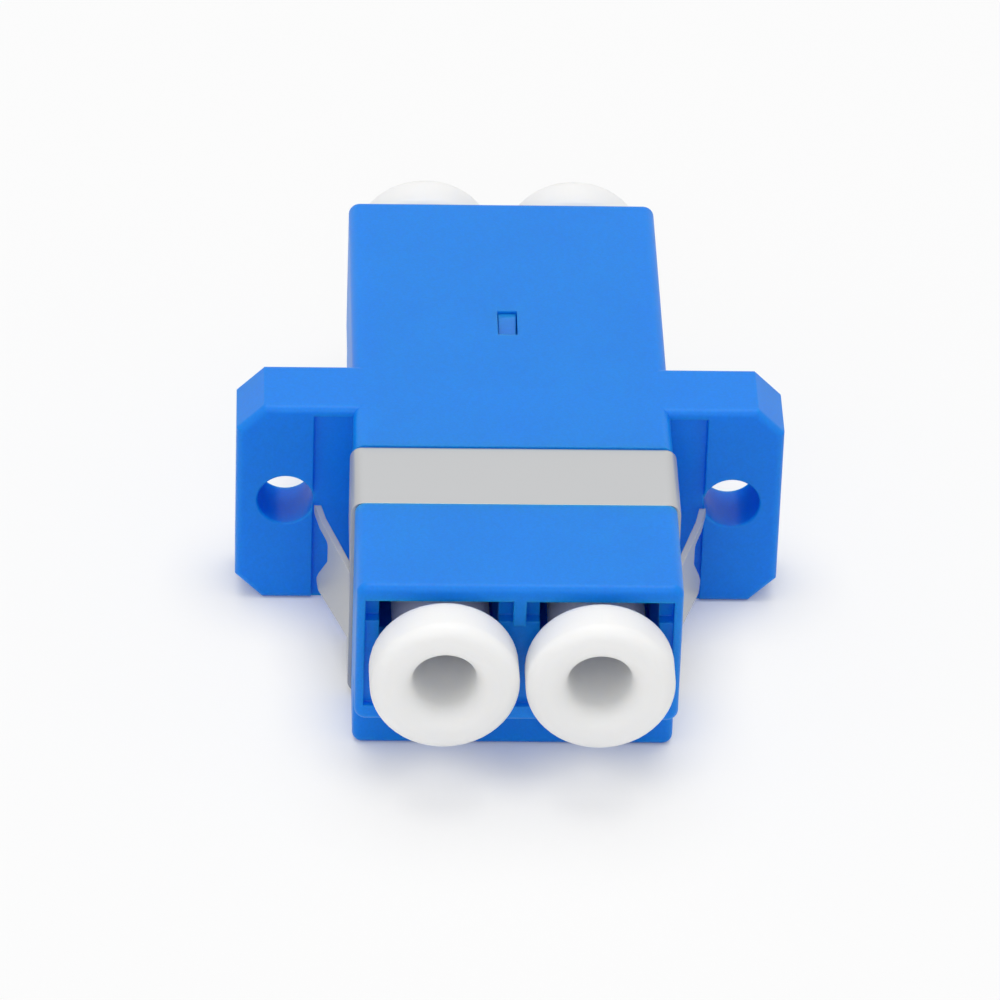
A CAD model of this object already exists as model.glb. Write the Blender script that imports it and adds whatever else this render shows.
import bmesh
import bpy
from mathutils import Matrix, Vector

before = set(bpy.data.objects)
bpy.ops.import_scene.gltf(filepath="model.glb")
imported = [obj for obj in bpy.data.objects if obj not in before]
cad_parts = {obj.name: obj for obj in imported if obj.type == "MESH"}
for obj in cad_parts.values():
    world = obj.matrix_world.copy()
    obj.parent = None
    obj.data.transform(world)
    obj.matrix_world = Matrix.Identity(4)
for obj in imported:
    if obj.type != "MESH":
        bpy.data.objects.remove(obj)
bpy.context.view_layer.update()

# ---- housing and rear insert ----------------------------------------------------
# Injection-moulded PBT in sea blue, the insert pressed into the housing from behind.
# A spark-eroded mould leaves a satin grain, drawn 0.11 mm wide, coarser than real, to show.
# The skin swells a little every 1.4 mm, and the colour drifts where the melt flowed.
mm = 0.001
housing_grain = 0.11 * mm
housing_swell = 1.4 * mm
melt_flow = 4 * mm
housing_corner = 0.09 * mm


def colour(code):
    """sRGB hex colour as the linear RGBA that the shaders use."""
    parts = [int(code[i:i + 2], 16) / 255 for i in (1, 3, 5)]
    return [p / 12.92 if p <= 0.04045 else ((p + 0.055) / 1.055) ** 2.4 for p in parts] + [1.0]


def node(tree, kind, inputs=(), **settings):
    """Add a shader node; inputs are (socket, value) or (socket, other node's output)."""
    made = tree.nodes.new(kind)
    for key, value in settings.items():
        setattr(made, key, value)
    for socket, value in inputs:
        if isinstance(value, bpy.types.NodeSocket):
            tree.links.new(value, made.inputs[socket])
        else:
            made.inputs[socket].default_value = value
    return made


def blank_material(name):
    """New material and its node tree, emptied."""
    material = bpy.data.materials.new(name)
    material.use_nodes = True
    material.node_tree.nodes.clear()
    return material, material.node_tree


blue, tree = blank_material("injection-moulded blue PBT")
place = node(tree, "ShaderNodeTexCoord").outputs["Object"]
grain = node(tree, "ShaderNodeTexNoise", [
    ("Vector", place), ("Scale", 1 / housing_grain), ("Detail", 3.0), ("Roughness", 0.6)])
wave = node(tree, "ShaderNodeTexNoise", [
    ("Vector", place), ("Scale", 1 / housing_swell), ("Detail", 2.0)])
drift = node(tree, "ShaderNodeTexNoise", [
    ("Vector", place), ("Scale", 1 / melt_flow), ("Detail", 4.0)])
edge = node(tree, "ShaderNodeBevel", [("Radius", housing_corner)], samples=6)
swell = node(tree, "ShaderNodeBump", [
    ("Height", wave.outputs["Fac"]), ("Distance", 0.01 * mm), ("Strength", 0.35),
    ("Normal", edge.outputs["Normal"])])
skin = node(tree, "ShaderNodeBump", [
    ("Height", grain.outputs["Fac"]), ("Distance", 0.004 * mm), ("Strength", 0.5),
    ("Normal", swell.outputs["Normal"])])
tint = node(tree, "ShaderNodeMix", [
    (0, drift.outputs["Fac"]), (6, colour("#027FE6")), (7, colour("#0488EE"))],
    data_type="RGBA")
fleck = node(tree, "ShaderNodeMapRange", [
    ("Value", grain.outputs["Fac"]), ("From Min", 0.3), ("From Max", 0.7),
    ("To Min", 0.94), ("To Max", 1.06)])
mottle = node(tree, "ShaderNodeVectorMath", [
    (0, tint.outputs[2]), ("Scale", fleck.outputs["Result"])], operation="SCALE")
shine = node(tree, "ShaderNodeMapRange", [
    ("Value", grain.outputs["Fac"]), ("To Min", 0.34), ("To Max", 0.46)])
plastic = node(tree, "ShaderNodeBsdfPrincipled", [
    ("Base Color", mottle.outputs[0]), ("Roughness", shine.outputs["Result"]),
    ("Normal", skin.outputs["Normal"]), ("IOR", 1.5), ("Specular IOR Level", 0.25),
    ("Subsurface Weight", 0.6), ("Subsurface Radius", [0.2, 0.5, 1.0]),
    ("Subsurface Scale", 1.4 * mm)])
node(tree, "ShaderNodeOutputMaterial", [("Surface", plastic.outputs["BSDF"])])


def dress(material, *names):
    """Give these pieces this material alone."""
    for name in names:
        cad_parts[name].data.materials.clear()
        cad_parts[name].data.materials.append(material)


dress(blue, "housing", "rear_insert")

# ---- spring clip ----------------------------------------------------------------
# One strip of rolled stainless spring steel, blanked and folded round the housing.
# Rolling lines 8 mm long run along it, drawn 0.07 mm apart, coarser than real, to show.
# A dull sheen from tumbling lies over the brighter rolled skin.
line_length = 8 * mm
line_spacing = 0.07 * mm
haze_patch = 2 * mm
clip_corner = 0.04 * mm
steel, tree = blank_material("rolled stainless spring steel")
place = node(tree, "ShaderNodeTexCoord").outputs["Object"]
along = node(tree, "ShaderNodeMapping", [
    ("Vector", place), ("Scale", [1 / line_length, 1 / line_spacing, 1 / line_length])])
lines = node(tree, "ShaderNodeTexNoise", [
    ("Vector", along.outputs["Vector"]), ("Scale", 1.0), ("Detail", 3.0)])
haze = node(tree, "ShaderNodeTexNoise", [
    ("Vector", place), ("Scale", 1 / haze_patch), ("Detail", 4.0)])
edge = node(tree, "ShaderNodeBevel", [("Radius", clip_corner)], samples=6)
roll = node(tree, "ShaderNodeBump", [
    ("Height", lines.outputs["Fac"]), ("Distance", 0.002 * mm), ("Strength", 0.5),
    ("Normal", edge.outputs["Normal"])])
shine = node(tree, "ShaderNodeMapRange", [
    ("Value", haze.outputs["Fac"]), ("To Min", 0.20), ("To Max", 0.28)])
bright = node(tree, "ShaderNodeBsdfPrincipled", [
    ("Base Color", colour("#A2A3A4")), ("Metallic", 1.0), ("Roughness", shine.outputs["Result"]),
    ("Normal", roll.outputs["Normal"])])
dull = node(tree, "ShaderNodeBsdfPrincipled", [
    ("Base Color", colour("#C9CACB")), ("Metallic", 1.0), ("Roughness", 0.62),
    ("Normal", roll.outputs["Normal"])])
finish = node(tree, "ShaderNodeMixShader", [
    ("Fac", 0.5), (1, bright.outputs["BSDF"]), (2, dull.outputs["BSDF"])])
node(tree, "ShaderNodeOutputMaterial", [("Surface", finish.outputs[0])])
dress(steel, "spring_clip")

# ---- split sleeves --------------------------------------------------------------
# Tubes of white zirconia, ground all round and slit along one side.
# Smooth and glossy, with faint grinding marks drawn 0.08 mm wide, coarser than real, to show.
grinding_mark = 0.08 * mm
ceramic, tree = blank_material("ground zirconia")
place = node(tree, "ShaderNodeTexCoord").outputs["Object"]
ground = node(tree, "ShaderNodeTexNoise", [
    ("Vector", place), ("Scale", 1 / grinding_mark), ("Detail", 2.0)])
skin = node(tree, "ShaderNodeBump", [
    ("Height", ground.outputs["Fac"]), ("Distance", 0.001 * mm), ("Strength", 0.4)])
stone = node(tree, "ShaderNodeBsdfPrincipled", [
    ("Base Color", colour("#EFECE4")), ("Roughness", 0.16), ("IOR", 2.1),
    ("Normal", skin.outputs["Normal"])])
node(tree, "ShaderNodeOutputMaterial", [("Surface", stone.outputs["BSDF"])])
dress(ceramic, "split_sleeve_left", "split_sleeve_right")

# ---- dust caps ------------------------------------------------------------------
# Moulded from soft white polyethylene, and pushed into the ports by their stems.
# The dull skin lets some light in, and swells slowly every 2.4 mm.
# Its grain is drawn 0.14 mm wide, coarser than real, to show.
cap_grain = 0.14 * mm
cap_swell = 2.4 * mm
cap_corner = 0.08 * mm
soft, tree = blank_material("moulded white polyethylene")
place = node(tree, "ShaderNodeTexCoord").outputs["Object"]
grain = node(tree, "ShaderNodeTexNoise", [
    ("Vector", place), ("Scale", 1 / cap_grain), ("Detail", 3.0)])
wave = node(tree, "ShaderNodeTexNoise", [
    ("Vector", place), ("Scale", 1 / cap_swell), ("Detail", 1.0)])
edge = node(tree, "ShaderNodeBevel", [("Radius", cap_corner)], samples=6)
swell = node(tree, "ShaderNodeBump", [
    ("Height", wave.outputs["Fac"]), ("Distance", 0.02 * mm), ("Strength", 0.4),
    ("Normal", edge.outputs["Normal"])])
skin = node(tree, "ShaderNodeBump", [
    ("Height", grain.outputs["Fac"]), ("Distance", 0.004 * mm), ("Strength", 0.4),
    ("Normal", swell.outputs["Normal"])])
white = node(tree, "ShaderNodeBsdfPrincipled", [
    ("Base Color", colour("#F7F7F5")), ("Roughness", 0.48), ("IOR", 1.51),
    ("Normal", skin.outputs["Normal"]), ("Subsurface Weight", 0.8),
    ("Subsurface Radius", [1.0, 1.05, 1.15]), ("Subsurface Scale", 1.5 * mm)])
node(tree, "ShaderNodeOutputMaterial", [("Surface", white.outputs["BSDF"])])
dress(soft, "dust_cap_front_left", "dust_cap_front_right",
      "dust_cap_rear_left", "dust_cap_rear_right")

# ---- floor ----------------------------------------------------------------------
# Plain matt white table, wide enough to fill every view from above.
# Looked at, it is as white as the room, except within 3.5 mm of what stands on it,
# where its own shading shows more and more.
table_half = 2.0
contact = 3.5 * mm
contact_falloff = 1.8
white_share = 0.76
plane = bmesh.new()
bmesh.ops.create_grid(plane, x_segments=1, y_segments=1, size=table_half)
floor_mesh = bpy.data.meshes.new("table")
plane.to_mesh(floor_mesh)
plane.free()
floor = bpy.data.objects.new("table", floor_mesh)
bpy.context.scene.collection.objects.link(floor)


def looked_at(tree):
    """1 for rays that see a surface straight from the camera, in a mirror or through glass."""
    rays = node(tree, "ShaderNodeLightPath")
    mirrored = node(tree, "ShaderNodeMath", [
        (0, rays.outputs["Is Glossy Ray"]), (1, rays.outputs["Is Transmission Ray"])],
        operation="MAXIMUM")
    return node(tree, "ShaderNodeMath", [
        (0, rays.outputs["Is Camera Ray"]), (1, mirrored.outputs[0])],
        operation="MAXIMUM").outputs[0]


table, tree = blank_material("matt white table")
matt = node(tree, "ShaderNodeBsdfPrincipled", [
    ("Base Color", colour("#F4F4F4")), ("Roughness", 0.9)])
glare = node(tree, "ShaderNodeEmission", [("Color", colour("#FFFFFF")), ("Strength", 1.0)])
reach = node(tree, "ShaderNodeAmbientOcclusion", [("Distance", contact)], samples=8)
steep = node(tree, "ShaderNodeMath", [
    (0, reach.outputs["AO"]), (1, contact_falloff)], operation="POWER")
clear = node(tree, "ShaderNodeMath", [
    (0, steep.outputs[0]), (1, white_share)], operation="MULTIPLY")
whiten = node(tree, "ShaderNodeMath", [
    (0, looked_at(tree)), (1, clear.outputs[0])], operation="MULTIPLY")
look = node(tree, "ShaderNodeMixShader", [
    ("Fac", whiten.outputs[0]), (1, matt.outputs["BSDF"]), (2, glare.outputs[0])])
node(tree, "ShaderNodeOutputMaterial", [("Surface", look.outputs[0])])
floor_mesh.materials.append(table)

# ---- light ----------------------------------------------------------------------
# A white room, dimmer for the light it gives than for how it looks.
# One broad softbox overhead, one in front, and two weak ones beside, all aimed at
# the middle of the adapter's base.
world = bpy.data.worlds.new("studio")
bpy.context.scene.world = world
world.use_nodes = True
tree = world.node_tree
tree.nodes.clear()
room = node(tree, "ShaderNodeBackground", [("Color", colour("#FFFFFF")), ("Strength", 0.42)])
backdrop = node(tree, "ShaderNodeBackground", [("Color", colour("#FFFFFF")), ("Strength", 1.0)])
seen = node(tree, "ShaderNodeMixShader", [
    ("Fac", looked_at(tree)), (1, room.outputs[0]), (2, backdrop.outputs[0])])
node(tree, "ShaderNodeOutputWorld", [("Surface", seen.outputs[0])])
base_middle = Vector((0, 0, 0))
for name, position, diameter, watts in (
        ("overhead softbox", Vector((0.0, 0.05, 0.40)), 0.35, 0.82),
        ("front softbox", Vector((-0.05, -0.42, 0.28)), 0.30, 0.46),
        ("left softbox", Vector((-0.36, -0.20, 0.16)), 0.25, 0.12),
        ("right softbox", Vector((0.36, -0.20, 0.16)), 0.25, 0.09)):
    lamp = bpy.data.lights.new(name, "AREA")
    lamp.shape = "DISK"
    lamp.size = diameter
    lamp.energy = watts
    rig = bpy.data.objects.new(name, lamp)
    rig.location = position
    rig.rotation_euler = (base_middle - position).to_track_quat("-Z", "Y").to_euler()
    bpy.context.scene.collection.objects.link(rig)

# ---- camera ---------------------------------------------------------------------
# A long lens in front of the adapter and above it, 0.32 m away and rolled by 2 degrees.
# From there its sides run nearly parallel.
camera_place = Vector((-0.012507, -0.261703, 0.18237))
camera_target = Vector((-0.000353, -0.0016, 0.00494))
camera_roll = 0.034872
eye = bpy.data.cameras.new("camera")
eye.lens = 281.4
eye.sensor_width = 36.0
eye.clip_start = 0.01
camera = bpy.data.objects.new("camera", eye)
forward = (camera_target - camera_place).normalized()
right = forward.cross(Vector((0, 0, 1))).normalized()
upward = right.cross(forward)
turn = Matrix((right, upward, -forward)).transposed().to_4x4()
turn = turn @ Matrix.Rotation(camera_roll, 4, "Z")
camera.matrix_world = Matrix.Translation(camera_place) @ turn
bpy.context.scene.collection.objects.link(camera)
bpy.context.scene.camera = camera

# ---- picture --------------------------------------------------------------------
# Square, traced by Cycles and denoised.
# The Standard view shows each colour as it is written, with no film curve.
scene = bpy.context.scene
scene.render.engine = "CYCLES"
scene.render.resolution_x = 1000
scene.render.resolution_y = 1000
scene.cycles.samples = 96
scene.cycles.use_denoising = True
scene.view_settings.view_transform = "Standard"
